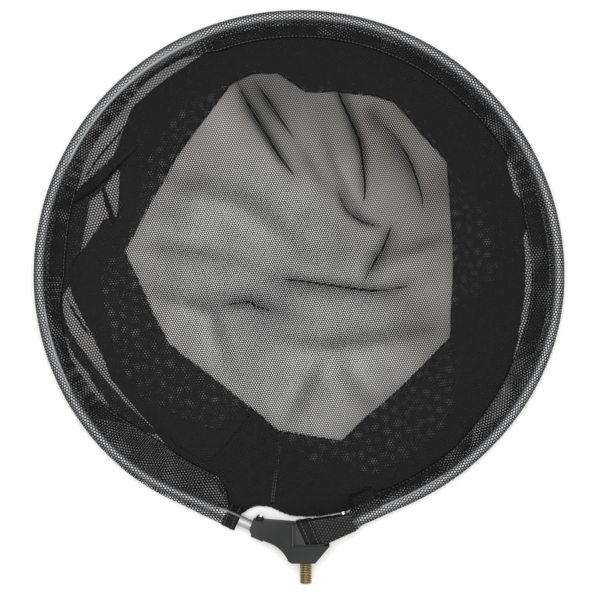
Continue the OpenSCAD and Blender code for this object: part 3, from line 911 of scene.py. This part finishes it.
def join_into(target, others):
    """Joins objects into one, which keeps its name."""
    chosen = [target, *others]
    with bpy.context.temp_override(active_object=target, selected_editable_objects=chosen):
        bpy.ops.object.join()


def build_rim_stitches():
    """Two rows of stitches through the sleeve's turned edges: beside the rim and at their ends."""
    points, outs = hoop_path(NET_ARM - 2, NET_ARM - 2, step=2.5)
    web, turn_in = seam_under(points, outs)
    rows = []
    for inset in (web - 1.4, web - np.maximum(turn_in - 1.0, 2.6)):
        sag = 1.1 * np.sin(np.pi * np.clip((web - inset) / web, 0, 1))
        height = WEB_TIP_Z + 0.55 + (web - inset) * 0.45 - sag
        level = points - inset[:, None] * outs
        rows.append(stitches(np.column_stack([level, height]), 2.1, 2.9, 0.26))
    return stitch_object("rim_stitching", rows)


def build_base_stitches():
    """The overlocked edge where the wall meets the base: slanted stitches all round."""
    pile = wall_lines()[-1]
    level = RING + (pile - 1.0)[:, None] * unit(ANGLES)
    height = (BASE_Z + RUN_Z[-1]) / 2 + 0.1 + lift(level) * beside_rim(around(RIM, ANGLES), pile)
    line = np.column_stack([level, height])
    line = np.concatenate([line, line[:1]])
    return stitch_object("base_overlock", [stitches(line, 2.2, 1.6, 0.24, slant=62),
                                           stitches(line, 1.5, 1.7, 0.22)])


def build_side_stitches():
    """The two rows of stitches at SEAM_DIR that close the wall's strip into a ring."""
    rim, _, _, fold = wall_lines()[:4]
    index = int((SEAM_DIR % 360) / (ANGLES[1] - ANGLES[0]))
    radii = np.linspace(fold[index] + 3, rim[index] - 3, 24)
    level = RING + radii[:, None] * unit(SEAM_DIR)
    height = np.linspace(RUN_Z[2], GROUND + 3, 24) + 0.45
    height += lift(level) * beside_rim(rim[index], radii)
    line = np.column_stack([level, height])
    across = np.array([*unit(SEAM_DIR + 90), 0]) * 1.6
    rows = [stitches(row, 2.0, 2.6, 0.26) for row in (line, line + across)]
    return stitch_object("wall_side_stitching", rows)


def thread_depth_at(turn):
    """Depth of the thread's groove at a share of its pitch, with flat crest and root."""
    flat = 0.14
    slope = (1 - 2 * flat) / 2
    start = turn - flat / 2
    rise = np.clip(start / slope, 0, 1) - np.clip((start - slope - flat) / slope, 0, 1)
    return THREAD_DEPTH * rise


def build_stud():
    """The brass stud: a helical thread with a chamfered tip, and its hex head inside the block."""
    sides, per_pitch = 48, 10
    y = np.arange(0, STUD_LENGTH + 1e-6, THREAD_PITCH / per_pitch)
    turn = np.arange(sides + 1) / sides
    phase = (y[:, None] / THREAD_PITCH - turn[None, :]) % 1
    fade = np.clip((y - 0.3) / 0.5, 0, 1) * np.clip((STUD_LENGTH - 0.5 - y) / 0.6, 0, 1)
    radius = STUD_R - thread_depth_at(phase) * fade[:, None]
    tip = np.clip((y - (STUD_LENGTH - 1.3)) / 1.3, 0, 1)
    radius = np.minimum(radius, STUD_R - 0.9 * tip[:, None] ** 1.2)
    across, up = unit(turn * 360).T
    down = np.broadcast_to(-y[:, None], radius.shape)
    shank = np.stack([radius * across, down, radius * up], axis=-1)
    close = [shank[-1] * [share, 1, share] for share in (0.8, 0.4, 0.001)]
    inside = [np.stack([STUD_R * across, np.full_like(turn, HEX_FROM - 0.1), STUD_R * up], axis=-1)]
    grid = np.concatenate([inside, shank, close])
    faces = grid_faces(*grid.shape[:2])[:, ::-1]
    stud = make_object("stud_threaded", grid.reshape(-1, 3), faces)
    corners = unit(np.arange(7) * 60 + 30) * HEX_ACROSS / 2 / math.cos(math.radians(30))
    levels = ((0.001, HEX_FROM), (0.92, HEX_FROM), (1, HEX_FROM + 0.4),
              (1, HEX_TO - 0.4), (0.92, HEX_TO), (0.001, HEX_TO))
    head = np.array([[(x * share, y_at, z * share) for x, z in corners] for share, y_at in levels])
    faces = grid_faces(*head.shape[:2])
    join_into(stud, [make_object("stud_head", head.reshape(-1, 3), faces, smooth=False)])
    return stud


def finish_block():
    """Rounds the mouldings' and screws' edges a little and gives them their finish."""
    front = plastic_material("block_plastic_front", (0.019, 0.0195, 0.0195), (0.085, 0.085, 0.085))
    rear = plastic_material("block_plastic_rear", (0.012, 0.0125, 0.0125), (0.07, 0.07, 0.07))
    steel = steel_material()
    for name, material, width in (
        ("block_front_shell", front, 0.45), ("block_rear_shell", rear, 0.4),
        ("arm_screws", steel, 0.12), ("shell_screw", steel, 0.12),
    ):
        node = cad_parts[name]
        paint(node, material)
        weld = node.modifiers.new("weld", "WELD")
        weld.merge_threshold = 0.00001
        bevel = node.modifiers.new("round_edges", "BEVEL")
        bevel.width, bevel.segments, bevel.limit_method = width * MM, 3, "ANGLE"
        bevel.angle_limit = math.radians(32)
        node.data.shade_smooth()
        even = node.modifiers.new("even_normals", "WEIGHTED_NORMAL")
        even.keep_sharp = True


# ---- the scene ----

def build_stage():
    """A pale floor, a soft lamp overhead, a weaker one at the side, and the camera straight
    above."""
    half = FLOOR_HALF / MM
    corners = [(-half, -half), (half, -half), (half, half), (-half, half)]
    floor = make_object("floor", [(x, y, GROUND) for x, y in corners], [(0, 1, 2, 3)], smooth=False)
    paint(floor, new_material("floor_paper", Base_Color=(0.90, 0.895, 0.885, 1), Roughness=0.9,
                              Specular_IOR_Level=0.1)[0])
    world = bpy.data.worlds.new("studio")
    bpy.context.scene.world = world
    world.use_nodes = True
    sky = world.node_tree.nodes["Background"].inputs
    sky[0].default_value, sky[1].default_value = (1, 1, 1, 1), SKY
    for name, place, size, power in LAMPS:
        light = bpy.data.lights.new(name, "AREA")
        light.size, light.energy = size, power
        lamp = bpy.data.objects.new(name, light)
        lamp.location = place
        aim = Vector(LAMPS_AIM) - Vector(place)
        lamp.rotation_euler = aim.to_track_quat("-Z", "Y").to_euler()
        bpy.context.scene.collection.objects.link(lamp)
    camera = bpy.data.cameras.new("camera")
    camera.lens = camera.sensor_width * CAMERA_AT[2] / VIEW_WIDTH
    view = bpy.data.objects.new("camera", camera)
    view.location = CAMERA_AT
    bpy.context.scene.collection.objects.link(view)
    bpy.context.scene.camera = view
    bpy.context.scene.view_settings.view_transform = "Standard"


def dress(piece, material, slot, *nodes):
    """Paints a piece, rides it on the only body and hides the CAD nodes it stands for, if any."""
    paint(piece, material)
    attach(piece, "root")
    if nodes:
        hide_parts(*nodes)
    return piece


build_stage()
finish_block()

net = knit("net_mesh", 0.588, ((0.003, 0.003, 0.0035), (0.010, 0.010, 0.011)))
hem = knit("hem_mesh", 0.342, ((0.004, 0.004, 0.0045), (0.012, 0.012, 0.013)))
thread = thread_material()

dress(build_tube(), alloy_material(), "hoop_alloy", "hoop_tube")
dress(build_stud(), brass_material(), "stud_brass", "threaded_stud")
sleeve = dress(build_sleeve(), net, "net_mesh", "net_sleeve")
wall = dress(build_wall(), net, "net_mesh", "net_wall")
base = dress(build_base(), net, "net_mesh", "net_base")
hem_left, left_face = build_hem("sleeve_hem_left_cloth", "left")
hem_right, right_face = build_hem("sleeve_hem_right_cloth", "right")
dress(hem_left, hem, "hem_mesh", "sleeve_hem_left")
dress(hem_right, hem, "hem_mesh", "sleeve_hem_right")
hem_rows = hem_stitch_rows(left_face, (2, 6)) + hem_stitch_rows(right_face, (1, 5))
hem_thread = dress(stitch_object("hem_stitching", hem_rows), thread, "seam_thread")
rim_thread = dress(build_rim_stitches(), thread, "seam_thread", "rim_seam")
base_thread = dress(build_base_stitches(), thread, "seam_thread", "base_seam")
side_thread = dress(build_side_stitches(), thread, "seam_thread", "wall_side_seam")
